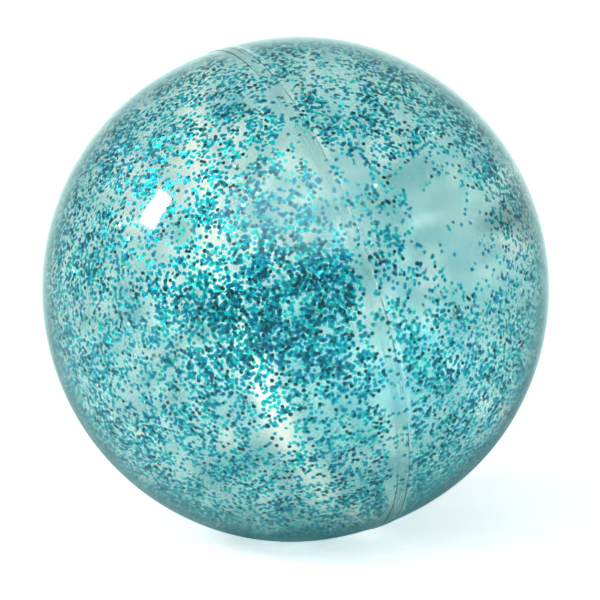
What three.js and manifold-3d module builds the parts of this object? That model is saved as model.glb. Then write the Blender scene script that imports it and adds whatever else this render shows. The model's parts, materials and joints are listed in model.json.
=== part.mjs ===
// Inflatable glitter ball: two clear vinyl half shells, lap-welded round one great circle,
// with a push-in inflation valve at the pole of the right half and loose glitter inside.
// Units are millimetres, +Z is up, and the ball rests on a small flat patch at the origin.
import * as THREE from 'three';
import { mergeVertices } from 'three/addons/utils/BufferGeometryUtils.js';
import Module from 'manifold-3d';

const wasm = await Module();
wasm.setup();

// Envelope
const BALL_RADIUS = 110;
const WALL = 0.8;
const REST_RADIUS = 15; // flat that the ball's own weight presses into the film
const RUNNING_GAP = 0.3; // left between pieces that touch on the real ball
const CENTRE_HEIGHT = Math.sqrt(BALL_RADIUS ** 2 - REST_RADIUS ** 2);
const SEAM_TURN = THREE.MathUtils.degToRad(19.7); // right pole, from +X towards +Y
const SEAM_TILT = THREE.MathUtils.degToRad(15); // right pole, above the horizontal
const LAP_EDGE = -2.6; // edge of the right half's film, which lies outside; from the centre plane
const LAP_TUCK = 2.6; // edge of the left half's film, which lies inside; measured the same way
const LAP_CLEARANCE = 0.35; // between the two films of the lap
const SHOULDER = 1.5; // length over which the inner film steps down under the lap

// Valve, measured along its axis from the ball's outer surface, outwards positive
const WELL_RADIUS = 11;
const FLANGE_INNER = 10;
const FLANGE_OUTER = 17;
const FLANGE_THICKNESS = 0.8;
const FLANGE_CLEARANCE = 0.4;
const STEM_RADIUS = 4.9;
const BORE_RADIUS = 3.5;
const STEM_MOUTH = -2.6;
const STEM_END = -18.5;
const COLLAR_LEVEL = -9.2;
const COLLAR_HALF_HEIGHT = 0.7;
const LIP = 0.4; // by which the stem's lip and collar stand out
const SKIRT_TOP = -1.9;
const SKIRT_THICKNESS = 0.6;
const HINGE_REACH = 7.4; // stopper hinge, sideways from the valve axis
const HINGE_RISE = 1.1; // stopper hinge, above the mouth
const HEAD_RADIUS = 5.3;
const HEAD_THICKNESS = 1.6;
const PLUG_DEPTH = 4.2;
const PLUG_TOP_RADIUS = 3.1;
const PLUG_TIP_RADIUS = 1.8;
const TAB_THICKNESS = 0.9;
const STRAP_WIDTH = 4; // also the width of the pull tab
const STRAP_THICKNESS = 0.7;
const BARREL_RADIUS = 0.5;
const LUG_THICKNESS = 1.4;
const FLAP_RADIUS = 4.4;
const FLAP_THICKNESS = 0.4;

// Glitter
const FLAKE_WIDTH = 1.6; // across the flats
const FLAKE_THICKNESS = 0.1;
const FLAKE_RADIUS = BALL_RADIUS - 1.9; // where the flakes lie, from the ball's centre
const FLAKE_PLACES = 56;

// Facets
const ROUND = 48; // segments round the ball and the large rings
const FINE_ROUND = 24; // segments round the valve's small parts
const ARC_STEP = THREE.MathUtils.degToRad(7.5);

const LOOKS = {
  shell: { color: 0xbfe0dc, roughness: 0.12, metalness: 0 },
  valve: { color: 0xd6ecea, roughness: 0.3, metalness: 0 },
  stopper: { color: 0x8ccfce, roughness: 0.3, metalness: 0 },
  glitter: { color: 0x168f9c, roughness: 0.25, metalness: 1 },
};

const material = (name) => new THREE.MeshStandardMaterial(LOOKS[name]);

function mesh(name, look, geometry) {
  const made = new THREE.Mesh(geometry, material(look));
  made.name = name;
  return made;
}

// ---- joining and cutting ----

function toSolid(geometry) {
  const bare = geometry.clone();
  bare.deleteAttribute('normal');
  bare.deleteAttribute('uv');
  const merged = mergeVertices(bare, 1e-4);
  const corners = merged.index.array;
  const kept = [];
  for (let i = 0; i < corners.length; i += 3) {
    const [a, b, c] = [corners[i], corners[i + 1], corners[i + 2]];
    if (a !== b && b !== c && c !== a) kept.push(a, b, c);
  }
  return new wasm.Manifold(new wasm.Mesh({
    numProp: 3,
    vertProperties: Float32Array.from(merged.attributes.position.array),
    triVerts: Uint32Array.from(kept),
  }));
}

function toGeometry(solid) {
  const { vertProperties, triVerts } = solid.getMesh();
  const geometry = new THREE.BufferGeometry();
  geometry.setAttribute('position', new THREE.BufferAttribute(vertProperties, 3));
  geometry.setIndex(new THREE.BufferAttribute(triVerts, 1));
  geometry.computeVertexNormals();
  return geometry;
}

// ---- outlines, as [distance from the axis, height along it], up the outside and down the inside ----

const onSphere = (radius, angle) => [radius * Math.sin(angle), radius * Math.cos(angle)];
const angleAtHeight = (radius, height) => Math.acos(height / radius);
const angleAtReach = (radius, reach) => Math.asin(reach / radius);

// An arc about the ball's centre with its corners on a shared grid of angles, so that the
// facets of one arc lie parallel to those of the next.
function arc(radius, from, to) {
  const low = Math.min(from, to);
  const high = Math.max(from, to);
  const angles = [low];
  for (let n = Math.ceil(low / ARC_STEP); n * ARC_STEP < high; n += 1) {
    if (n * ARC_STEP - low > ARC_STEP / 10 && high - n * ARC_STEP > ARC_STEP / 10) {
      angles.push(n * ARC_STEP);
    }
  }
  angles.push(high);
  if (from > to) angles.reverse();
  return angles.map((angle) => onSphere(radius, angle));
}

function lathe(points, segments) {
  return new THREE.LatheGeometry(points.map(([x, y]) => new THREE.Vector2(x, y)), segments);
}

const ring = (points, segments) => lathe([...points, points[0]], segments);

// A strip of even thickness along a curve, as a closed outline.
function strip(curve, thickness, steps) {
  const side = (sign) => Array.from({ length: steps + 1 }, (_, i) => {
    const at = curve.getPoint(i / steps);
    const along = curve.getTangent(i / steps);
    const half = (sign * thickness) / 2;
    return [at.x + along.y * half, at.y - along.x * half];
  });
  return [...side(1), ...side(-1).reverse()];
}

// ---- the two half shells ----

// One side of the left half's film, from the pole up to where its step meets the tongue.
function leftOutline(radius, tongueRadius, stepDown) {
  return [
    ...arc(radius, Math.PI, angleAtHeight(radius, LAP_EDGE - RUNNING_GAP - SHOULDER - stepDown)),
    onSphere(tongueRadius, angleAtHeight(tongueRadius, LAP_EDGE - RUNNING_GAP - stepDown)),
  ];
}

// Everything above the given height over the floor, in the seam's own frame.
function aboveFloor(height, worldToSeam) {
  const size = 4 * BALL_RADIUS;
  const block = new THREE.BoxGeometry(size, size, size);
  block.translate(0, 0, height + size / 2);
  block.applyMatrix4(worldToSeam);
  return toSolid(block);
}

// A solid dome about the left pole with that outline, closed by a plane at the given height.
function leftDome(outline, tongueRadius, height) {
  const tongue = arc(
    tongueRadius,
    angleAtHeight(tongueRadius, LAP_EDGE),
    angleAtHeight(tongueRadius, height),
  );
  return toSolid(lathe([...outline, ...tongue, [0, height]], ROUND));
}

function halfShellLeft(worldToSeam) {
  const inner = BALL_RADIUS - WALL;
  const tongueOut = inner - LAP_CLEARANCE;
  const tongueIn = tongueOut - WALL;
  const outside = leftDome(leftOutline(BALL_RADIUS, tongueOut, 0), tongueOut, LAP_TUCK);
  const inside = leftDome(leftOutline(inner, tongueIn, WALL / 2), tongueIn, LAP_TUCK + 1);
  return toGeometry(outside.intersect(aboveFloor(0, worldToSeam))
    .subtract(inside.intersect(aboveFloor(WALL, worldToSeam))));
}

function halfShellRight() {
  const wallArc = (radius) =>
    arc(radius, angleAtHeight(radius, LAP_EDGE), angleAtReach(radius, WELL_RADIUS));
  return ring([...wallArc(BALL_RADIUS), ...wallArc(BALL_RADIUS - WALL).reverse()], ROUND);
}

// ---- the valve ----

function valveFlange() {
  const outer = BALL_RADIUS - WALL - FLANGE_CLEARANCE;
  const leaf = (radius) =>
    arc(radius, angleAtReach(radius, FLANGE_OUTER), angleAtReach(radius, FLANGE_INNER));
  return ring([...leaf(outer), ...leaf(outer - FLANGE_THICKNESS).reverse()], ROUND);
}

// The thin dished web that carries the stem, and turns inside out as the stem is pulled.
function valveSkirt() {
  const root = FLANGE_INNER - RUNNING_GAP - SKIRT_THICKNESS / 2;
  const rim = STEM_RADIUS + LIP + RUNNING_GAP;
  const dish = new THREE.CubicBezierCurve(
    new THREE.Vector2(root, SKIRT_TOP),
    new THREE.Vector2(root - 0.2, COLLAR_LEVEL + 1),
    new THREE.Vector2(root - 0.6, COLLAR_LEVEL),
    new THREE.Vector2(rim, COLLAR_LEVEL),
  );
  return ring(strip(dish, SKIRT_THICKNESS, 8), 36);
}

function valveStem() {
  const lip = STEM_RADIUS + LIP;
  const tube = toSolid(ring([
    [BORE_RADIUS, STEM_END],
    [STEM_RADIUS, STEM_END],
    [STEM_RADIUS, COLLAR_LEVEL - COLLAR_HALF_HEIGHT],
    [lip, COLLAR_LEVEL - COLLAR_HALF_HEIGHT],
    [lip, COLLAR_LEVEL + COLLAR_HALF_HEIGHT],
    [STEM_RADIUS, COLLAR_LEVEL + COLLAR_HALF_HEIGHT],
    [STEM_RADIUS, STEM_MOUTH - 3 * LIP],
    [lip, STEM_MOUTH - 2 * LIP],
    [lip, STEM_MOUTH - LIP],
    [STEM_RADIUS, STEM_MOUTH],
    [BORE_RADIUS, STEM_MOUTH],
  ], FINE_ROUND));
  const lugReach = HINGE_REACH + BARREL_RADIUS;
  const lugTop = STEM_MOUTH + 0.2;
  const lugRoot = BORE_RADIUS + 0.6; // inside the tube's wall
  const lug = new THREE.BoxGeometry(lugReach - lugRoot, LUG_THICKNESS, STRAP_WIDTH);
  lug.translate(-(lugReach + lugRoot) / 2, lugTop - 1, 0);
  const post = new THREE.BoxGeometry(LUG_THICKNESS, LUG_THICKNESS, STRAP_WIDTH);
  post.translate(LUG_THICKNESS / 2 - lugReach, lugTop - LUG_THICKNESS / 2, 0);
  return toGeometry(tube.add(toSolid(lug)).add(toSolid(post)));
}

function stopper() {
  const under = STEM_MOUTH + RUNNING_GAP;
  const top = under + HEAD_THICKNESS;
  const plug = toSolid(lathe([
    [0, STEM_MOUTH - PLUG_DEPTH],
    [PLUG_TIP_RADIUS, STEM_MOUTH - PLUG_DEPTH],
    [PLUG_TOP_RADIUS, under],
    [HEAD_RADIUS, under],
    [HEAD_RADIUS, top - 0.5],
    [HEAD_RADIUS - 0.6, top],
    [0, top],
  ], FINE_ROUND));
  const half = STRAP_WIDTH / 2;
  const outline = new THREE.Shape();
  outline.moveTo(-half, 0);
  outline.lineTo(half, 0);
  outline.lineTo(half, half);
  outline.absarc(0, half, half, 0, Math.PI, false);
  outline.lineTo(-half, 0);
  const extent = { depth: TAB_THICKNESS, bevelEnabled: false, curveSegments: 6 };
  const tab = new THREE.ExtrudeGeometry(outline, extent);
  tab.rotateZ(-Math.PI / 2);
  tab.rotateX(-Math.PI / 2);
  tab.translate(HEAD_RADIUS - 1, under + 0.2, 0);
  return toGeometry(plug.add(toSolid(tab)));
}

function stopperStrap() {
  const hinge = STEM_MOUTH + HINGE_RISE;
  const barrel = new THREE.CylinderGeometry(BARREL_RADIUS, BARREL_RADIUS, STRAP_WIDTH, 12);
  barrel.rotateX(Math.PI / 2);
  barrel.translate(-HINGE_REACH, hinge, 0);
  const headSide = HEAD_RADIUS + RUNNING_GAP;
  const web = new THREE.BoxGeometry(HINGE_REACH - headSide, STRAP_THICKNESS, STRAP_WIDTH);
  web.translate(-(HINGE_REACH + headSide) / 2, hinge, 0);
  return toGeometry(toSolid(barrel).add(toSolid(web)));
}

function checkFlap() {
  const disc = new THREE.CylinderGeometry(FLAP_RADIUS, FLAP_RADIUS, FLAP_THICKNESS, FINE_ROUND);
  disc.translate(0, STEM_END - RUNNING_GAP - FLAP_THICKNESS / 2, 0);
  return disc;
}

function valve() {
  const group = new THREE.Group();
  group.position.y = BALL_RADIUS;
  group.add(
    mesh('valve_skirt', 'valve', valveSkirt()),
    mesh('valve_stem', 'valve', valveStem()),
    mesh('valve_check_flap', 'valve', checkFlap()),
    mesh('valve_stopper', 'stopper', stopper()),
    mesh('stopper_strap', 'stopper', stopperStrap()),
  );
  return group;
}

// ---- the glitter ----

// Places spread evenly over the inner wall, each a golden-angle turn on from the last.
function flakePlaces() {
  const goldenTurn = Math.PI * (3 - Math.sqrt(5));
  return Array.from({ length: FLAKE_PLACES }, (_, i) => {
    const height = 1 - (2 * i + 1) / FLAKE_PLACES;
    const reach = Math.sqrt(1 - height ** 2);
    const turn = i * goldenTurn;
    return new THREE.Vector3(reach * Math.cos(turn), height, reach * Math.sin(turn));
  });
}

// Clear of the lap, the valve and the rest patch.
function isFree(place, down) {
  const fromPlane = place.y * FLAKE_RADIUS;
  const clearOfLap = fromPlane < LAP_EDGE - 6 || fromPlane > LAP_TUCK + 2;
  const clearOfValve = place.angleTo(new THREE.Vector3(0, 1, 0)) > 1.5 * FLANGE_OUTER / BALL_RADIUS;
  const clearOfRest = place.angleTo(down) > 1.5 * REST_RADIUS / BALL_RADIUS;
  return clearOfLap && clearOfValve && clearOfRest;
}

function glitter(worldToSeam) {
  const group = new THREE.Group();
  const down = new THREE.Vector3(0, 0, -1).transformDirection(worldToSeam);
  const corner = FLAKE_WIDTH / Math.sqrt(3);
  flakePlaces().filter((place) => isFree(place, down)).forEach((place, i) => {
    const hexagon = new THREE.CylinderGeometry(corner, corner, FLAKE_THICKNESS, 6);
    const flake = mesh(`glitter_flake_${String(i + 1).padStart(2, '0')}`, 'glitter', hexagon);
    flake.position.copy(place).multiplyScalar(FLAKE_RADIUS);
    flake.quaternion.setFromUnitVectors(new THREE.Vector3(0, 1, 0), place);
    group.add(flake);
  });
  return group;
}

// ---- the ball ----

// The seam's frame: its +Y axis runs from the left pole, through the centre, to the right pole.
function seamFrame() {
  const centre = new THREE.Group();
  centre.position.z = CENTRE_HEIGHT;
  const turned = new THREE.Group();
  turned.rotation.z = SEAM_TURN;
  const tilted = new THREE.Group();
  tilted.rotation.y = -SEAM_TILT;
  const seam = new THREE.Group();
  seam.rotation.z = -Math.PI / 2;
  centre.add(turned);
  turned.add(tilted);
  tilted.add(seam);
  return { centre, seam };
}

const ball = new THREE.Group();
const { centre, seam } = seamFrame();
ball.add(centre);
ball.updateMatrixWorld(true);
const worldToSeam = seam.matrixWorld.clone().invert();

seam.add(
  mesh('half_shell_left', 'shell', halfShellLeft(worldToSeam)),
  mesh('half_shell_right', 'shell', halfShellRight()),
  mesh('valve_flange', 'valve', valveFlange()),
  valve(),
  glitter(worldToSeam),
);

export default ball;
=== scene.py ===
"""Looks of the inflatable glitter ball: film shells, lap weld, valve and loose glitter. Metres, +Z up."""
import json
import math

import bmesh
import bpy
import numpy as np
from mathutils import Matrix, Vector, noise


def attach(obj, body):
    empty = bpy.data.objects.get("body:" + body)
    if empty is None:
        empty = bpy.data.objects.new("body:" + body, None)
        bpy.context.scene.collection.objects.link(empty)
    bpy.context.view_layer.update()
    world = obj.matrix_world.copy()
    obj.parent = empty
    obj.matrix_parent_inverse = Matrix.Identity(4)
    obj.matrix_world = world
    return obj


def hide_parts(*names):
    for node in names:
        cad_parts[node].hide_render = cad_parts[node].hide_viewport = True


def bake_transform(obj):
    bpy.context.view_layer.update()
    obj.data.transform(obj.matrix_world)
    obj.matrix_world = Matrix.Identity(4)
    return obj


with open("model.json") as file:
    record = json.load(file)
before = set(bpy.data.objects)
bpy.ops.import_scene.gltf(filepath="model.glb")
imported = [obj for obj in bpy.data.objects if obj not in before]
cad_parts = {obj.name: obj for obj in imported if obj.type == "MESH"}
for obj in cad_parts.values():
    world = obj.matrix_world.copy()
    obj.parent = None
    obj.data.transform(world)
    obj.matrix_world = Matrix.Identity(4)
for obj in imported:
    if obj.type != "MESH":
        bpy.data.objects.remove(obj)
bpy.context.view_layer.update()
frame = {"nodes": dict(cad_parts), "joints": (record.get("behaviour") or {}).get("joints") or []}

# ---------------------------------------------------------------- driving dimensions, as in the CAD

BALL_RADIUS = 0.110
WALL = 0.0008
REST_RADIUS = 0.015
LAP_EDGE = -0.0026  # edge of the right film, which lies outside; from the ball's centre plane
LAP_TUCK = 0.0026  # edge of the left film, which lies inside
LAP_GAP = 0.00004  # between the two films of the lap
LAP_LIFT = 0.00030  # what is left of the outer film's thickness where the weld has pressed it flat
WELL_RADIUS = 0.011

CENTRE = Vector((0, 0, math.sqrt(BALL_RADIUS**2 - REST_RADIUS**2)))
JOINTS = {joint["name"]: joint for joint in frame["joints"]}
POLE = Vector(JOINTS["valve_pull"]["axis"]).normalized()  # of the right half shell
SIDE = Vector((0, 0, 1)).cross(POLE).normalized()
UPWARD = POLE.cross(SIDE).normalized()

CAMERA_ELEVATION = math.radians(10)
CAMERA_DISTANCE = 20 * BALL_RADIUS
BALL_SHARE = 0.847  # of the frame's width that the ball takes
SHIFT_RIGHT, SHIFT_UP = 0.0072, -0.0192  # of the view, as shares of the frame's width
TO_CAMERA = Vector((0, -math.cos(CAMERA_ELEVATION), math.sin(CAMERA_ELEVATION)))
CAMERA_UP = Vector((0, math.sin(CAMERA_ELEVATION), math.cos(CAMERA_ELEVATION)))

RNG = np.random.default_rng(20)


# ---------------------------------------------------------------- places on the ball

def front(right, up, toward):
    """A direction given by how far it points right, up and towards the side that is looked at."""
    return (Vector((1, 0, 0)) * right + CAMERA_UP * up + TO_CAMERA * toward).normalized()


def soft_step(value, low, high):
    """0 up to low and 1 from high on, with a smooth rise between them."""
    t = np.clip((value - low) / (high - low), 0, 1)
    return t * t * (3 - 2 * t)


def fibre_noise(turn, height, along, across, seed):
    """Noise drawn out along the weld: turn is in radians round it, height in metres across it."""
    x = math.cos(turn) * BALL_RADIUS / along
    y = math.sin(turn) * BALL_RADIUS / along
    return noise.noise(Vector((x + seed, y - seed, height / across + seed)))


# ---------------------------------------------------------------- meshes

def new_object(name, vertices, faces, materials, smooth=True):
    mesh = bpy.data.meshes.new(name)
    mesh.from_pydata([tuple(v) for v in vertices], [], faces)
    mesh.update()
    if smooth:
        mesh.shade_smooth()
    made = bpy.data.objects.new(name, mesh)
    for each in materials:
        mesh.materials.append(each)
    bpy.context.scene.collection.objects.link(made)
    return made


def piece(made, body, slot, *replaced):
    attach(made, body)
    if replaced:
        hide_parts(*replaced)
    return made


# ---------------------------------------------------------------- the film's round

WAIST = 0.0011  # how far the weld, which stretches less than the film, pulls the ball in
WAIST_REACH = 0.040
STEP_END = 0.0029  # the outer film rides over the inner one up to here, and then drops off its edge
STEP_FOOT = 0.0054  # and it is back on the ball's round from here on

WELD_MIDDLE = 0.001  # over the ball's centre plane
WELD_REACH, PUCKER_REACH = 0.0042, 0.010  # from the weld's middle
FIBRE_HEIGHT, FINE_FIBRE_HEIGHT, PUCKER_HEIGHT = 0.00006, 0.00003, 0.000045


def left_radius(height):
    """Outer face of the left film, by height over the ball's centre plane."""
    return BALL_RADIUS - WAIST * math.exp(-((height / WAIST_REACH) ** 2))


def right_radius(height):
    """Outer face of the right film, which rides over the left one in the lap."""
    off = float(soft_step(height, STEP_END, STEP_FOOT))
    return left_radius(height) + LAP_LIFT * (1 - off)


def right_inner_radius(height):
    """Inner face of the right film. Beside the left film's rim it is melted flush with that film."""
    return left_radius(height) + (LAP_GAP if height < LAP_TUCK + LAP_GAP else -WALL)


def weld_relief(turn, height, fibred):
    """The puckers that the weld leaves in the film, and the fibres on its outer face if fibred is 1."""
    from_middle = height - WELD_MIDDLE
    band = math.exp(-((from_middle / WELD_REACH) ** 4))
    near = math.exp(-((from_middle / PUCKER_REACH) ** 2))
    fibres = FIBRE_HEIGHT * fibre_noise(turn, height, 0.030, 0.0014, 3.1)
    fibres += FINE_FIBRE_HEIGHT * fibre_noise(turn, height, 0.012, 0.0008, 5.3)
    puckers = PUCKER_HEIGHT * fibre_noise(turn, height, 0.0060, 0.010, 8.7)
    return band * fibres * fibred + near * puckers


def polar_at(height, radius):
    """The angle from the pole of a point at this height and this far from the centre."""
    return math.acos(height / radius)


def spread(start, end, step):
    """Even places from start to end, both included, about step apart."""
    count = max(1, round(abs(end - start) / step))
    return [start + (end - start) * i / count for i in range(count + 1)]


def on_floor(at, floor):
    """Rests a point on the floor, and rounds the film's bend into the flat patch."""
    bend = 0.0005
    drop = at.z - floor
    at.z = max(floor, floor + 0.5 * (drop + math.sqrt(drop * drop + bend * bend)) - 0.5 * bend)
    return at


OUTSIDE, INSIDE, FUSED = range(3)  # faces of the film, in the order of the materials in make_film


def shell_mesh(name, rows, segments, materials, skins, fibred=0):
    """A surface of revolution about POLE, at rest on the floor, with the weld's relief. rows are (radius,
    height over the centre plane, depth in the film); a row whose radius equals its height's size is a pole
    itself. skins has the material of the faces after a row. With fibred 1, depth 0 has the weld's fibres."""
    vertices, starts = [], []
    for radius, height, depth in rows:
        starts.append(len(vertices))
        reach = math.sqrt(max(0.0, radius * radius - height * height))
        if reach < 1e-9:
            vertices.append(on_floor(CENTRE + POLE * height, depth))
            continue
        for k in range(segments):
            turn = 2 * math.pi * k / segments
            out = 1 + weld_relief(turn, height, fibred * (depth == 0)) / radius
            sideways = SIDE * math.cos(turn) + UPWARD * math.sin(turn)
            vertices.append(on_floor(CENTRE + (POLE * height + sideways * reach) * out, depth))
    faces, chosen = [], []
    ends = starts[1:] + [len(vertices)]
    lone = [end - start == 1 for start, end in zip(starts, ends)]
    pairs = [(i, i + 1) for i in range(len(rows) - 1)]
    if not lone[0]:
        pairs.append((len(rows) - 1, 0))
    for i, j in pairs:
        for k in range(segments):
            n = (k + 1) % segments
            corners = [starts[i]] if lone[i] else [starts[i] + k, starts[i] + n]
            corners += [starts[j]] if lone[j] else [starts[j] + n, starts[j] + k]
            faces.append(corners)
            chosen.append(skins[i])
    made = new_object(name, vertices, faces, materials)
    made.data.polygons.foreach_set("material_index", chosen)
    return made


COARSE = math.radians(2.0)  # between rows on the dome
FINE = 0.00035  # between rows in the strip near the lap
STRIP = 0.016  # how far that strip reaches from the ball's centre plane


def dome_rows(radius_at, depth, start, near_edge):
    """Rows from a polar angle to the finely divided strip near the lap, which begins at near_edge."""
    rows = []
    for angle in spread(start, polar_at(near_edge, radius_at(near_edge)), COARSE)[:-1]:
        radius = radius_at(BALL_RADIUS * math.cos(angle)) - depth
        rows.append((radius, radius * math.cos(angle), depth))
    return rows


def left_film(materials, segments=288):
    """The half shell opposite the valve. Its rim is tucked under the other film."""
    heights = spread(-STRIP, LAP_EDGE, FINE)[:-1] + spread(LAP_EDGE, LAP_TUCK - 0.0001, FINE)

    def side(depth):
        rows = dome_rows(left_radius, depth, math.pi, -STRIP)
        return rows + [(left_radius(h) - depth, h, depth) for h in heights]

    outer, inner = side(0), side(WALL)
    rim = [(left_radius(LAP_TUCK) - WALL / 2, LAP_TUCK, WALL / 2)]
    skins = [FUSED if height >= LAP_EDGE else OUTSIDE for _, height, _ in outer]
    skins += [FUSED] * len(rim) + [INSIDE] * len(inner)
    return shell_mesh("vinyl_left", outer + rim + inner[::-1], segments, materials, skins)


def right_film(materials, segments=288):
    """The valve's half shell. Its rim laps over the other film and ends in a cut edge, slightly rounded."""
    heights = spread(LAP_EDGE + 0.00006, LAP_TUCK + LAP_GAP / 2, FINE)
    heights += spread(LAP_TUCK + LAP_GAP * 2, STRIP, FINE)

    def side(radius_at, depth):
        well = math.asin(WELL_RADIUS / (BALL_RADIUS - depth))
        rows = [(radius_at(h), h, depth) for h in heights]
        return rows + dome_rows(right_radius, depth, well, STRIP)[::-1]

    outer, inner = side(right_radius, 0), side(right_inner_radius, WALL)
    high, low = right_radius(LAP_EDGE), right_inner_radius(LAP_EDGE)
    rim = [
        (low + 0.00005, LAP_EDGE, WALL),
        ((low + high) / 2, LAP_EDGE - 0.00003, WALL / 2),
        (high - 0.00006, LAP_EDGE, 0),
    ]
    inner = inner[::-1]
    skins = [OUTSIDE] * (len(rim) + len(outer) - 1) + [INSIDE]
    skins += [FUSED if height < LAP_TUCK + LAP_GAP * 3 else INSIDE for _, height, _ in inner]
    return shell_mesh("vinyl_right", rim + outer + inner, segments, materials, skins, fibred=1)


# ---------------------------------------------------------------- glitter

FLAKE_WIDTH = 0.0016
FLAKE_DOME = 0.00003  # how far the middle of each face stands over its rim
FLAKE_SPREAD = 0.07  # of the flakes' sizes, as a share
FLAKE_AREA = math.sqrt(3) / 2 * FLAKE_WIDTH**2
FLAKE_APART = 0.87 * FLAKE_WIDTH  # between the middles of flakes that lie in one layer
SECOND_LAYER = 0.28  # share of the flakes that may lie over others
HEART_LAYER = 0.4  # how much more that is in the first drift's middle
OFF_WALL, OFF_LAP = 0.00010, 0.00015  # air between wall and flake, and how much more of it under the lap
LIFT_SHAPE, LIFT_SCALE = 1.2, 0.00008  # of the gamma distribution by which flakes stand off further
VALVE_CLEAR = math.radians(10.5)  # there is no glitter this close to the pole
EVEN_COVER = 0.82
DRIFT_LEAST, DRIFT_MOST = 0.012, 0.95  # cover before clumping
MOST_COVER = 0.96
BARE_MIDDLE, BARE_REACH, BARE_SHARE = -0.0010, 0.0062, 0.80  # the weld's strip, where little glitter clings

# Where the glitter lies thick or thin: direction, how wide in radians, how much more or less is covered.
DRIFTS = [
    ((-0.03, -0.04, 1.00), 0.37, 0.40),
    ((0.00, 0.00, 1.00), 0.80, -0.18),
    ((-0.62, 0.10, 0.77), 0.40, -0.16),
    ((0.28, -0.14, 0.95), 0.22, 0.06),
    ((0.58, 0.26, 0.76), 0.36, -0.80),
    ((0.80, 0.05, 0.55), 0.30, -0.20),
    ((0.02, 0.30, 0.95), 0.16, -0.16),
    ((0.00, 0.80, 0.55), 0.40, -0.22),
    ((-0.10, -0.70, 0.70), 0.40, -0.24),
    ((0.45, -0.60, 0.65), 0.35, -0.16),
    ((0.00, -0.90, -0.30), 0.90, 0.12),
    ((0.50, 0.15, -0.85), 0.90, 0.14),
    ((-0.45, 0.45, -0.77), 0.35, -0.22),
]

# How the glitter clumps: size of the clumps, how strongly, and an offset in the noise.
CLUMPS = [
    (0.0030, 3.2, (4, 1, 7)),
    (0.0085, 3.0, (1, 9, 2)),
    (0.024, 1.6, (6, 3, 5)),
]

# name: share of the flakes, colour, roughness, usual tilt in degrees, what gets through if it isn't opaque
TONES = {
    # Painted shade: this tone's colour is a darker copy of the foil's, standing for flakes that mirror the
    # dim room.
    "painted_shade": (0.10, (0.004, 0.12, 0.16), 0.25, 6, None),
    "teal": (0.42, (0.008, 0.48, 0.62), 0.28, 7, (0.002, 0.44, 0.63)),
    "aqua": (0.37, (0.018, 0.74, 0.90), 0.28, 10, (0.004, 0.84, 1.00)),
    "pale": (0.04, (0.160, 0.86, 0.96), 0.32, 16, (0.050, 0.88, 1.00)),
    # Painted highlight: this tone's colour is a lighter copy of the foil's, for flakes that catch the
    # lights; its lower roughness and larger tilt are real.
    "painted_glint": (0.07, (0.380, 0.92, 1.00), 0.15, 22, None),
}


def cover(direction):
    """The share of the wall that the glitter hides in this direction, gathered in clumps."""
    amount = EVEN_COVER
    for toward, width, strength in DRIFTS:
        apart = direction.angle(front(*toward))
        amount += strength * math.exp(-((apart / width) ** 2))
    height = direction.dot(POLE) * BALL_RADIUS
    amount *= 1 - BARE_SHARE * math.exp(-(((height - BARE_MIDDLE) / BARE_REACH) ** 4))
    amount = min(DRIFT_MOST, max(DRIFT_LEAST, amount))
    at = direction * BALL_RADIUS
    clumps = 0
    for size, strength, offset in CLUMPS:
        clumps += noise.noise(at / size + Vector(offset)) * strength
    lean = math.log(amount / (1 - amount)) + clumps
    return min(MOST_COVER, 1 / (1 + math.exp(-lean)))


def flake_places():
    """Directions from the centre for all flakes. Most keep clear of the flakes that are already there."""
    most = -math.log(1 - MOST_COVER)
    tries = int(4 * math.pi * BALL_RADIUS**2 / FLAKE_AREA * most)
    heights = RNG.uniform(-1, 1, tries)
    turns = RNG.uniform(0, 2 * math.pi, tries)
    chances = RNG.uniform(0, most, tries)
    toward, width, _ = DRIFTS[0]
    heart = np.array(front(*toward))
    reach = np.sqrt(1 - heights**2)
    points = np.stack([reach * np.cos(turns), reach * np.sin(turns), heights], axis=1)
    in_heart = np.exp(-(np.arccos(np.clip(points @ heart, -1, 1)) / width) ** 2)
    free = RNG.uniform(0, 1, tries) < SECOND_LAYER + HEART_LAYER * in_heart
    cells = np.floor(points * (BALL_RADIUS / FLAKE_APART)).astype(int)
    near_valve = math.cos(VALVE_CLEAR)
    apart = (FLAKE_APART / BALL_RADIUS) ** 2
    around = [(i, j, k) for i in (-1, 0, 1) for j in (-1, 0, 1) for k in (-1, 0, 1)]
    taken, kept = {}, []
    for n in range(tries):
        direction = Vector(points[n])
        if direction.dot(POLE) > near_valve or chances[n] > -math.log(1 - cover(direction)):
            continue
        i, j, k = cells[n]
        if not free[n]:
            near = [other for a, b, c in around for other in taken.get((i + a, j + b, k + c), ())]
            if any((direction - other).length_squared < apart for other in near):
                continue
            taken.setdefault((i, j, k), []).append(direction)
        kept.append(points[n])
    return np.array(kept)


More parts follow.
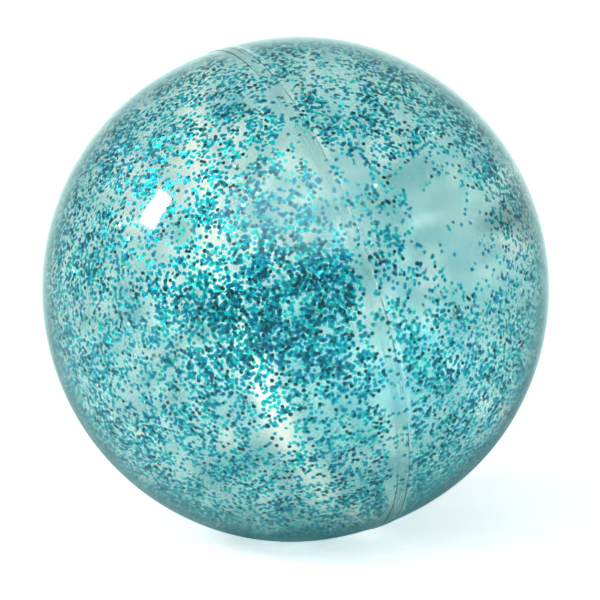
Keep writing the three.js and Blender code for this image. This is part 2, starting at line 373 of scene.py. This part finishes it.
def flake_mesh(name, directions, tilt, material):
    """Thin hexagons that lie against the inner wall, each with its own tilt, turn and size."""
    count = len(directions)
    pole = np.array(POLE)
    aside = np.where(np.abs(directions[:, 2:3]) < 0.9, [[0, 0, 1]], [[1, 0, 0]])
    across = np.cross(directions, aside)
    across /= np.linalg.norm(across, axis=1, keepdims=True)
    beside = np.cross(directions, across)
    lean = RNG.normal(0, math.radians(tilt), (count, 2))
    normal = directions + across * lean[:, :1] + beside * lean[:, 1:]
    normal /= np.linalg.norm(normal, axis=1, keepdims=True)
    u = np.cross(normal, beside)
    u /= np.linalg.norm(u, axis=1, keepdims=True)
    v = np.cross(normal, u)
    half = RNG.normal(1, FLAKE_SPREAD, count) * FLAKE_WIDTH / math.sqrt(3)
    lift = RNG.gamma(LIFT_SHAPE, LIFT_SCALE, count)
    raised = half * np.minimum(0.9, np.hypot(lean[:, 0], lean[:, 1]))
    height = directions @ pole * BALL_RADIUS
    wall = BALL_RADIUS - WAIST * np.exp(-((height / WAIST_REACH) ** 2)) - WALL
    in_lap = np.exp(-(((height - WELD_MIDDLE) / 0.0050) ** 4))
    radius = wall - OFF_WALL - OFF_LAP * in_lap - lift - raised
    middle = np.array(CENTRE) + directions * radius[:, None]
    floor = WALL + 0.00015 + raised
    middle[:, 2] = np.where(middle[:, 2] < floor, floor + lift, middle[:, 2])
    spin = RNG.uniform(0, 2 * math.pi, count)
    corners = []
    for corner in range(6):
        angle = spin + corner * math.pi / 3
        reach = u * np.cos(angle)[:, None] + v * np.sin(angle)[:, None]
        corners.append(middle + reach * half[:, None])
    points = np.stack(corners + [middle + normal * FLAKE_DOME, middle - normal * FLAKE_DOME], axis=1)
    top = [(c, (c + 1) % 6, 6) for c in range(6)]
    bottom = [((c + 1) % 6, c, 7) for c in range(6)]
    faces = np.array(top + bottom)[None] + 8 * np.arange(count)[:, None, None]
    return triangle_object(name, points.reshape(-1, 3), faces.reshape(-1, 3), material)


def triangle_object(name, points, triangles, material):
    mesh = bpy.data.meshes.new(name)
    mesh.vertices.add(len(points))
    mesh.vertices.foreach_set("co", points.ravel())
    mesh.loops.add(triangles.size)
    mesh.loops.foreach_set("vertex_index", triangles.ravel())
    mesh.polygons.add(len(triangles))
    mesh.polygons.foreach_set("loop_start", np.arange(0, triangles.size, 3))
    mesh.update(calc_edges=True)
    mesh.shade_flat()
    mesh.materials.append(material)
    made = bpy.data.objects.new(name, mesh)
    bpy.context.scene.collection.objects.link(made)
    return made


# ---------------------------------------------------------------- valve

# Levels are along the valve's axis from the ball's surface, outwards positive.
FLANGE_INNER, FLANGE_OUTER, FLANGE_THICKNESS = 0.0100, 0.0170, 0.0008
SKIRT_ROOT = -0.0020
SKIRT_THICKNESS = 0.0006
STEM_RADIUS, BORE_RADIUS, STEM_LIP = 0.0049, 0.0035, 0.0053
STEM_MOUTH, STEM_END = -0.0026, -0.0185
COLLAR_LEVEL = -0.0092
HINGE_REACH, HINGE_LEVEL = 0.0074, -0.0015
BARREL_RADIUS = 0.0005
HEAD_UNDER, HEAD_TOP, HEAD_RADIUS = -0.0023, -0.0007, 0.0053
PLUG_TIP = -0.0068
HALF_STRAP = 0.0020
FLAP_RADIUS, FLAP_TOP, FLAP_UNDER = 0.0044, -0.0188, -0.0191


def valve_point(across, level, along):
    """across is sideways from the valve's axis, towards the pull tab."""
    return CENTRE - SIDE * across + POLE * (BALL_RADIUS + level) + UPWARD * along


def rounded(outline, by, steps=4):
    """Rounds the corners of a closed outline, but for those on the valve's axis."""
    points = []
    for i, corner in enumerate(outline):
        if corner[0] == 0:
            points.append(corner)
            continue
        here, before = Vector(corner), Vector(outline[i - 1])
        after = Vector(outline[(i + 1) % len(outline)])
        reach = min(by, 0.4 * (before - here).length, 0.4 * (after - here).length)
        start = here + (before - here).normalized() * reach
        end = here + (after - here).normalized() * reach
        for step in range(steps + 1):
            t = step / steps
            points.append(tuple(start * (1 - t) ** 2 + here * 2 * t * (1 - t) + end * t * t))
    return points


def clean_object(name, vertices, faces, material):
    """Joins vertices that lie in one place, drops faces without area and turns all faces outwards."""
    made = new_object(name, vertices, faces, [material])
    mesh = bmesh.new()
    mesh.from_mesh(made.data)
    bmesh.ops.remove_doubles(mesh, verts=mesh.verts, dist=1e-7)
    bmesh.ops.recalc_face_normals(mesh, faces=mesh.faces)
    mesh.to_mesh(made.data)
    mesh.free()
    return made


def turned(name, outline, material, segments=96):
    """A closed outline of (reach, level) turned about the valve's axis."""
    vertices, faces = [], []
    count = len(outline)
    for k in range(segments):
        turn = 2 * math.pi * k / segments
        for reach, level in outline:
            vertices.append(valve_point(reach * math.cos(turn), level, reach * math.sin(turn)))
        this, after = k * count, (k + 1) % segments * count
        for i in range(count):
            j = (i + 1) % count
            faces.append((this + i, this + j, after + j, after + i))
    return clean_object(name, vertices, faces, material)


def shrunk(outline, by):
    """A closed outline, drawn in towards its middle."""
    middle = sum((Vector(point) for point in outline), Vector((0, 0))) / len(outline)
    drawn = []
    for point in outline:
        inwards = middle - Vector(point)
        drawn.append(tuple(Vector(point) + inwards.normalized() * min(by, 0.3 * inwards.length)))
    return drawn


def extruded(name, outline, low, high, place, material):
    """A closed outline (u, v) drawn out from w = low to high, with softened edges. place(u, v, w) gives
    the point."""
    soft = 0.00015
    inner = shrunk(outline, soft)
    levels = [(inner, low), (outline, low + soft), (outline, high - soft), (inner, high)]
    vertices = [place(u, v, w) for ring, w in levels for u, v in ring]
    count = len(outline)
    faces = [tuple(range(count)), tuple(range(3 * count, 4 * count))]
    for level in range(3):
        for i in range(count):
            j = (i + 1) % count
            this, after = level * count, (level + 1) * count
            faces.append((this + i, this + j, after + j, after + i))
    return clean_object(name, vertices, faces, material)


def fused(made, *others):
    """One skin round shapes that overlap."""
    for other in others:
        joined = made.modifiers.new("fused", "BOOLEAN")
        joined.operation, joined.solver, joined.object = "UNION", "EXACT", other
    seen = bpy.context.evaluated_depsgraph_get()
    mesh = bpy.data.meshes.new_from_object(made.evaluated_get(seen))
    made.modifiers.clear()
    made.data = mesh
    for other in others:
        bpy.data.objects.remove(other)
    return made


def crisp(made):
    """Keeps flat faces flat in the light, next to rounded edges."""
    made.modifiers.new("crisp", "WEIGHTED_NORMAL")
    return made


def valve_flange(material):
    """The ring that is welded to the film round the well."""

    def leaf(radius, reaches):
        return [(reach, math.sqrt(radius**2 - reach**2) - BALL_RADIUS) for reach in reaches]

    outer = BALL_RADIUS - WALL - 0.00005
    reaches = spread(FLANGE_OUTER, FLANGE_INNER, 0.001)
    inner = leaf(outer - FLANGE_THICKNESS, reaches[::-1])
    return crisp(turned("flange", rounded(leaf(outer, reaches) + inner, 0.0003), material))


def valve_skirt(material):
    """The thin dished web that carries the stem, built in its resting shape. The real web turns inside out
    as the stem is pulled; this mesh doesn't follow the stem.
    """
    start, end = Vector((FLANGE_INNER - 0.0001, SKIRT_ROOT)), Vector((STEM_LIP + 0.0001, COLLAR_LEVEL))
    first, second = Vector((0.0092, COLLAR_LEVEL + 0.0010)), Vector((0.0088, COLLAR_LEVEL))
    out, back = [], []
    for t in spread(0, 1, 1 / 28):
        at = start * (1 - t) ** 3 + first * 3 * t * (1 - t) ** 2 + second * 3 * t * t * (1 - t) + end * t**3
        way = (first - start) * (1 - t) ** 2 + (second - first) * 2 * t * (1 - t) + (end - second) * t * t
        aside = Vector((-way.y, way.x)).normalized() * SKIRT_THICKNESS / 2
        out.append(tuple(at + aside))
        back.append(tuple(at - aside))
    return turned("skirt", out + back[::-1], material)


def valve_stem(material):
    """The tube that is blown into, with its collar, its lip and the lug that holds the strap's barrel."""
    collar = 0.0007
    outline = [
        (BORE_RADIUS, STEM_END),
        (STEM_RADIUS, STEM_END),
        (STEM_RADIUS, COLLAR_LEVEL - collar),
        (STEM_LIP, COLLAR_LEVEL - collar),
        (STEM_LIP, COLLAR_LEVEL + collar),
        (STEM_RADIUS, COLLAR_LEVEL + collar),
        (STEM_RADIUS, STEM_MOUTH - 0.0012),
        (STEM_LIP, STEM_MOUTH - 0.0008),
        (STEM_LIP, STEM_MOUTH - 0.0004),
        (STEM_RADIUS, STEM_MOUTH),
        (BORE_RADIUS, STEM_MOUTH),
    ]
    tube = turned("stem", rounded(outline, 0.00025), material)
    end, root = -HINGE_REACH - BARREL_RADIUS, -BORE_RADIUS - 0.0006
    top = STEM_MOUTH + 0.0002
    lug_outline = [
        (root, top - 0.0017),
        (end, top - 0.0014),
        (end, top),
        (end + 0.0014, top),
        (end + 0.0016, top - 0.0003),
        (root, top - 0.0003),
    ]
    across_strap = (-HALF_STRAP, HALF_STRAP)
    lug = extruded("lug", rounded(lug_outline, 0.0003), *across_strap, valve_point, material)
    return crisp(fused(tube, lug))


def valve_stopper(material):
    """Head, tapered plug with a sealing bead, and pull tab."""
    outline = [
        (0, PLUG_TIP),
        (0.0018, PLUG_TIP),
        (0.0027, -0.0042),
        (0.0033, -0.0036),
        (0.0033, -0.0032),
        (0.0029, -0.0027),
        (0.0030, HEAD_UNDER),
        (HEAD_RADIUS, HEAD_UNDER),
        (HEAD_RADIUS, HEAD_TOP - 0.0005),
        (HEAD_RADIUS - 0.0006, HEAD_TOP),
        (0.0034, HEAD_TOP),
        (0.0031, HEAD_TOP - 0.0003),
        (0, HEAD_TOP - 0.0003),
    ]
    head = turned("stopper", rounded(outline, 0.0002), material)
    root, middle = HEAD_RADIUS - 0.0010, HEAD_RADIUS + 0.0010
    tab_outline = [(root, -HALF_STRAP), (root, HALF_STRAP)]
    for turn in spread(math.pi / 2, -math.pi / 2, 0.13):
        tab_outline.append((middle + HALF_STRAP * math.cos(turn), HALF_STRAP * math.sin(turn)))
    low = HEAD_UNDER + 0.0002

    def place(u, v, w):
        return valve_point(u, w, v)

    tab = extruded("tab", tab_outline, low, low + 0.0009, place, material)
    return crisp(fused(head, tab))


def stopper_strap(material):
    """The barrel that turns in the lug, and the thin web from it to the stopper's head."""
    thick, neck = 0.00035, 0.00027
    end = -HEAD_RADIUS - 0.0001
    outline = []
    for turn in spread(math.pi / 4, 2 * math.pi - math.pi / 4, 0.2):
        reach = -HINGE_REACH + BARREL_RADIUS * math.cos(turn)
        outline.append((reach, HINGE_LEVEL + BARREL_RADIUS * math.sin(turn)))
    outline += [(end - 0.0009, HINGE_LEVEL - neck), (end - 0.0003, HINGE_LEVEL - thick)]
    outline += [(end, HINGE_LEVEL - thick), (end, HINGE_LEVEL + thick)]
    outline += [(end - 0.0003, HINGE_LEVEL + thick), (end - 0.0009, HINGE_LEVEL + neck)]
    return crisp(extruded("strap", outline, -HALF_STRAP, HALF_STRAP, valve_point, material))


def check_flap(material):
    """The disc that air lifts off the stem's inner end, with a bead round it."""
    outline = [
        (0, FLAP_UNDER),
        (FLAP_RADIUS - 0.0007, FLAP_UNDER),
        (FLAP_RADIUS - 0.0004, FLAP_UNDER - 0.0001),
        (FLAP_RADIUS, FLAP_UNDER - 0.00005),
        (FLAP_RADIUS, FLAP_TOP),
        (0, FLAP_TOP),
    ]
    return crisp(turned("check_flap", rounded(outline, 0.0001), material))


# ---------------------------------------------------------------- materials

def new_material(name):
    material = bpy.data.materials.new(name)
    material.use_nodes = True
    tree = material.node_tree
    return material, tree, tree.nodes["Principled BSDF"], tree.nodes["Material Output"]


def add(tree, kind, **values):
    node = tree.nodes.new(kind)
    for name, value in values.items():
        if name in node.inputs:
            node.inputs[name].default_value = value
        else:
            setattr(node, name, value)
    return node


def noise_texture(tree, scale, detail=2.0, roughness=0.5):
    node = add(tree, "ShaderNodeTexNoise", Scale=scale, Detail=detail, Roughness=roughness)
    place = add(tree, "ShaderNodeTexCoord")
    tree.links.new(place.outputs["Object"], node.inputs["Vector"])
    return node.outputs["Fac"]


def ramp(tree, factor, *stops):
    """A colour ramp: stops are (position, colour)."""
    node = tree.nodes.new("ShaderNodeValToRGB")
    elements = node.color_ramp.elements
    while len(elements) < len(stops):
        elements.new(0.5)
    for element, (position, colour) in zip(elements, stops):
        element.position = position
        element.color = (*colour, 1)
    tree.links.new(factor, node.inputs["Fac"])
    return node.outputs["Color"]


def grey(value):
    return (value, value, value)


def bump(tree, shader, height, strength, distance):
    node = add(tree, "ShaderNodeBump", Strength=strength, Distance=distance)
    tree.links.new(height, node.inputs["Height"])
    tree.links.new(node.outputs["Normal"], shader.inputs["Normal"])


def vector_math(tree, operation, first, second=None):
    node = add(tree, "ShaderNodeVectorMath", operation=operation)
    tree.links.new(first, node.inputs[0])
    if second is not None:
        node.inputs[1].default_value = second
    return node


BACKDROP = -TO_CAMERA  # towards the middle of the pale green-blue backdrop, which the ball's rim mirrors
BACKDROP_GLOW = (1.00, 1.36, 1.30)
BACKDROP_FULL, BACKDROP_END = math.cos(math.radians(18)), math.cos(math.radians(42))
VINYL_IOR = 1.5


def backdrop_share(tree, direction):
    """1 towards the backdrop, 0 well beside it."""
    toward = vector_math(tree, "DOT_PRODUCT", direction, BACKDROP).outputs["Value"]
    return ramp(tree, toward, (BACKDROP_END, grey(0)), (BACKDROP_FULL, grey(1)))


def choose_by_ray(tree, output, usual, choices):
    """Gives the kinds of ray in choices another shader than the usual one. The last one that fits counts."""
    path = tree.nodes.new("ShaderNodeLightPath")
    last = usual
    for kind, other in choices:
        mix = tree.nodes.new("ShaderNodeMixShader")
        tree.links.new(path.outputs[f"Is {kind} Ray"], mix.inputs[0])
        tree.links.new(last, mix.inputs[1])
        tree.links.new(other, mix.inputs[2])
        last = mix.outputs["Shader"]
    tree.links.new(last, output.inputs["Surface"])


def let_lamps_in(tree, shader, output, tint, looked_at=None):
    """Rays that light what is inside go straight through the film; what is looked at is bent by it."""
    glass = shader.outputs["BSDF"]
    clear = add(tree, "ShaderNodeBsdfTransparent", Color=(*tint, 1)).outputs["BSDF"]
    # Cycles calls a ray that has passed through glass glossy too, so the glass is put back for those.
    choices = [("Glossy", clear), ("Transmission", looked_at or glass), ("Diffuse", clear)]
    choose_by_ray(tree, output, glass, choices + [("Shadow", clear)])


FILM_TINT = ((0.985, 0.975, 0.920), (0.998, 0.992, 0.955))


def film_outside():
    """The glossy face, with dull patches where it has been handled."""
    material, tree, shader, output = new_material("film_outside")
    tint = ramp(tree, noise_texture(tree, 22, 3), (0.3, FILM_TINT[0]), (0.7, FILM_TINT[1]))
    tree.links.new(tint, shader.inputs["Base Color"])
    handled = ramp(tree, noise_texture(tree, 60, 5, 0.65), (0.45, grey(0.02)), (0.75, grey(0.09)))
    tree.links.new(handled, shader.inputs["Roughness"])
    shader.inputs["Transmission Weight"].default_value = 1
    shader.inputs["IOR"].default_value = VINYL_IOR
    shader.inputs["Specular IOR Level"].default_value = 0.25
    bump(tree, shader, noise_texture(tree, 90, 3, 0.5), 0.2, 0.0003)
    let_lamps_in(tree, shader, output, (0.98, 0.98, 0.96))
    return material


def film_inside():
    """The hazy face. It bends what is looked at, and mirrors nothing of its own."""
    material, tree, shader, output = new_material("film_inside")
    tint = ramp(tree, noise_texture(tree, 45, 3), (0.3, FILM_TINT[0]), (0.7, FILM_TINT[1]))
    hazy = ramp(tree, noise_texture(tree, 35, 4, 0.6), (0.3, grey(0.16)), (0.7, grey(0.24)))
    bend = tree.nodes.new("ShaderNodeBsdfRefraction")
    for node, colour in ((shader, "Base Color"), (bend, "Color")):
        tree.links.new(tint, node.inputs[colour])
        tree.links.new(hazy, node.inputs["Roughness"])
        node.inputs["IOR"].default_value = VINYL_IOR
    shader.inputs["Transmission Weight"].default_value = 1
    let_lamps_in(tree, shader, output, (0.98, 0.98, 0.97), bend.outputs["BSDF"])
    return material


def film_fused():
    """The faces that are melted together in the lap. Nothing bends where there is no air."""
    material, tree, shader, output = new_material("film_fused")
    streaked = ramp(tree, noise_texture(tree, 260, 3), (0.3, (0.93, 0.96, 0.96)), (0.7, grey(1.0)))
    tree.links.new(streaked, shader.inputs["Base Color"])
    shader.inputs["Roughness"].default_value = 0.08
    shader.inputs["Transmission Weight"].default_value = 1
    shader.inputs["IOR"].default_value = VINYL_IOR
    melted = tree.nodes.new("ShaderNodeBsdfTransparent")
    tree.links.new(streaked, melted.inputs["Color"])
    let_lamps_in(tree, shader, output, (0.97, 0.98, 0.97), melted.outputs["BSDF"])
    return material


PASS_SHARE = 0.82  # of the light that meets a face of a thin flake and isn't thrown back


def flake_foil(tone, colour, roughness, through):
    """Metallised film. Seen or lit through the ball's wall, it shows how thin it is."""
    material, tree, shader, output = new_material(f"foil_{tone}")
    darker = tuple(c * 0.7 for c in colour)
    lighter = tuple(min(1.0, c * 1.25 + 0.01) for c in colour)
    mottle = noise_texture(tree, 700, 2)
    tree.links.new(ramp(tree, mottle, (0.3, darker), (0.7, lighter)), shader.inputs["Base Color"])
    worn = noise_texture(tree, 2500, 2)
    rough = ramp(tree, worn, (0.3, grey(roughness * 0.8)), (0.7, grey(roughness * 1.3)))
    tree.links.new(rough, shader.inputs["Roughness"])
    shader.inputs["Metallic"].default_value = 0.97
    if through is None:
        return material
    face = tuple(min(1.0, math.sqrt(c) / PASS_SHARE) for c in through)
    stain = ramp(tree, mottle, (0.3, tuple(c * 0.92 for c in face)), (0.7, face))
    clear = tree.nodes.new("ShaderNodeBsdfTransparent")
    tree.links.new(stain, clear.inputs["Color"])
    thin = add(tree, "ShaderNodeMixShader")
    thin.inputs[0].default_value = PASS_SHARE
    tree.links.new(shader.outputs["BSDF"], thin.inputs[1])
    tree.links.new(clear.outputs["BSDF"], thin.inputs[2])
    seen = [(kind, thin.outputs["Shader"]) for kind in ("Transmission", "Diffuse", "Glossy", "Shadow")]
    choose_by_ray(tree, output, shader.outputs["BSDF"], seen)
    return material


def soft_vinyl(name, dark, light, roughness):
    """The valve's softened vinyl, a little cloudy."""
    material, tree, shader, _ = new_material(name)
    mottle = noise_texture(tree, 180, 4)
    tree.links.new(ramp(tree, mottle, (0.3, dark), (0.7, light)), shader.inputs["Base Color"])
    worn = noise_texture(tree, 700, 3)
    rough = ramp(tree, worn, (0.3, grey(roughness * 0.8)), (0.7, grey(roughness * 1.2)))
    tree.links.new(rough, shader.inputs["Roughness"])
    shader.inputs["Transmission Weight"].default_value = 0.6
    shader.inputs["IOR"].default_value = VINYL_IOR
    bump(tree, shader, noise_texture(tree, 1200, 3), 0.15, 0.0002)
    return material


FLOOR_GLOW = 0.54
FLOOR_DIM = (0.50, 0.70, 0.70)


def floor_paint():
    """White paint that glows a little. It throws a dimmer, green-blue light on other things. Mirrored, it is
    that dim too, and gives way to the backdrop behind the ball."""
    material, tree, shader, output = new_material("pale_floor")
    paint = ramp(tree, noise_texture(tree, 4, 3), (0.3, grey(0.88)), (0.7, grey(0.90)))
    tree.links.new(paint, shader.inputs["Base Color"])
    shader.inputs["Roughness"].default_value = 0.9
    shader.inputs["Specular IOR Level"].default_value = 0.2
    shader.inputs["Emission Color"].default_value = (1, 1, 1, 1)
    shader.inputs["Emission Strength"].default_value = FLOOR_GLOW
    lit = shader.outputs["BSDF"]
    dim = add(tree, "ShaderNodeBsdfDiffuse", Color=(*FLOOR_DIM, 1)).outputs["BSDF"]
    place = tree.nodes.new("ShaderNodeTexCoord").outputs["Object"]
    from_ball = vector_math(tree, "SUBTRACT", place, CENTRE).outputs["Vector"]
    direction = vector_math(tree, "NORMALIZE", from_ball).outputs["Vector"]
    mirrored = tree.nodes.new("ShaderNodeMixShader")
    tree.links.new(backdrop_share(tree, direction), mirrored.inputs[0])
    backdrop = add(tree, "ShaderNodeEmission", Color=(*BACKDROP_GLOW, 1)).outputs["Emission"]
    tree.links.new(dim, mirrored.inputs[1])
    tree.links.new(backdrop, mirrored.inputs[2])
    mirrored = mirrored.outputs["Shader"]
    choose_by_ray(tree, output, lit, (("Glossy", mirrored), ("Transmission", lit), ("Diffuse", dim)))
    return material


# ---------------------------------------------------------------- the ball

def make_film():
    faces = [film_outside(), film_inside(), film_fused()]
    piece(left_film(faces), "ball", "clear_vinyl", "half_shell_left")
    piece(right_film(faces), "ball", "clear_vinyl", "half_shell_right")


MOST_IN_A_PIECE = 16000  # flakes


def make_glitter():
    places = flake_places()
    picked = RNG.choice(len(TONES), len(places), p=[tone[0] for tone in TONES.values()])
    for n, (tone, (_, colour, roughness, tilt, through)) in enumerate(TONES.items()):
        foil = flake_foil(tone, colour, roughness, through)
        mine = places[picked == n]
        for part, share in enumerate(np.array_split(mine, len(mine) // MOST_IN_A_PIECE + 1)):
            piece(flake_mesh(f"glitter_{tone}_{part + 1}", share, tilt, foil), "ball", "glitter")
        if tone == "teal":
            for name, node in frame["nodes"].items():
                if name.startswith("glitter_flake"):
                    node.data.materials.clear()
                    node.data.materials.append(foil)


def make_valve():
    clear = soft_vinyl("valve_vinyl", (0.84, 0.94, 0.94), (0.93, 0.99, 0.99), 0.3)
    teal = soft_vinyl("stopper_vinyl", (0.20, 0.55, 0.58), (0.30, 0.66, 0.68), 0.3)
    piece(valve_flange(clear), "ball", "valve_vinyl", "valve_flange")
    piece(valve_stem(clear), "valve", "valve_vinyl", "valve_stem")
    piece(check_flap(clear), "check_flap", "valve_vinyl", "valve_check_flap")
    piece(valve_stopper(teal), "stopper", "stopper_vinyl", "valve_stopper")
    piece(stopper_strap(teal), "stopper", "stopper_vinyl", "stopper_strap")
    skirt = valve_skirt(clear)
    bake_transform(skirt)
    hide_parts("valve_skirt")


# ---------------------------------------------------------------- studio

def make_floor():
    side = 40.0
    corners = [(-side, -side, 0), (side, -side, 0), (side, side, 0), (-side, side, 0)]
    floor = new_object("floor", corners, [(0, 1, 2, 3)], [floor_paint()], smooth=False)


DIM, BRIGHT = 0.30, 2.6
BRIGHT_AT = front(0.0, 0.62, 0.78)
BRIGHT_SIZE = (0.62, 0.45)  # half width and half height, as sines
SOFTBOX_AT = front(-0.83, 0.48, 0.27)
SOFTBOX_AWAY = 1.5
SOFTBOX_POWER = 12


def make_world():
    """A dim room with one broad soft light high in front, and a pale green-blue backdrop behind the ball."""
    world = bpy.data.worlds.new("studio")
    bpy.context.scene.world = world
    world.use_nodes = True
    tree = world.node_tree
    background = tree.nodes["Background"]
    place = tree.nodes.new("ShaderNodeTexCoord").outputs["Generated"]

    def along(direction, scale):
        return vector_math(tree, "DOT_PRODUCT", place, direction * scale).outputs["Value"]

    def both(operation, first, second):
        node = add(tree, "ShaderNodeMath", operation=operation)
        tree.links.new(first, node.inputs[0])
        tree.links.new(second, node.inputs[1])
        return node.outputs["Value"]

    across = Vector((0, 0, 1)).cross(BRIGHT_AT).normalized()
    above = BRIGHT_AT.cross(across)
    x, y = along(across, 1 / BRIGHT_SIZE[0]), along(above, 1 / BRIGHT_SIZE[1])
    from_middle = both("ADD", both("MULTIPLY", x, x), both("MULTIPLY", y, y))
    behind = ramp(tree, along(BRIGHT_AT, 1), (0.0, grey(4)), (0.3, grey(0)))
    from_middle = both("ADD", from_middle, behind)
    light = ramp(tree, from_middle, (0.2, grey(1)), (1.0, grey(DIM / BRIGHT)))
    glow = [(channel - DIM) / BRIGHT for channel in BACKDROP_GLOW]
    backdrop = vector_math(tree, "MULTIPLY", backdrop_share(tree, place), glow)
    total = add(tree, "ShaderNodeVectorMath", operation="ADD")
    tree.links.new(light, total.inputs[0])
    tree.links.new(backdrop.outputs["Vector"], total.inputs[1])
    tree.links.new(total.outputs["Vector"], background.inputs["Color"])
    background.inputs["Strength"].default_value = BRIGHT


def make_lights():
    lamp = bpy.data.lights.new("softbox", "AREA")
    lamp.shape = "RECTANGLE"
    lamp.size, lamp.size_y = 0.24, 0.34
    lamp.energy = SOFTBOX_POWER
    made = bpy.data.objects.new("softbox", lamp)
    made.location = CENTRE + SOFTBOX_AT * SOFTBOX_AWAY
    made.rotation_euler = SOFTBOX_AT.to_track_quat("Z", "Y").to_euler()
    bpy.context.scene.collection.objects.link(made)


def make_camera():
    data = bpy.data.cameras.new("camera")
    made = bpy.data.objects.new("camera", data)
    bpy.context.scene.collection.objects.link(made)
    half_width = math.tan(math.asin(BALL_RADIUS / CAMERA_DISTANCE)) / BALL_SHARE
    data.lens = data.sensor_width / (2 * half_width)
    data.shift_x, data.shift_y = SHIFT_RIGHT, SHIFT_UP
    data.clip_end = 100
    made.location = CENTRE + TO_CAMERA * CAMERA_DISTANCE
    made.rotation_euler = TO_CAMERA.to_track_quat("Z", "Y").to_euler()
    bpy.context.scene.camera = made


make_camera()
make_world()
make_lights()
make_floor()
make_film()
make_valve()
make_glitter()
bpy.context.scene.view_settings.view_transform = "Standard"
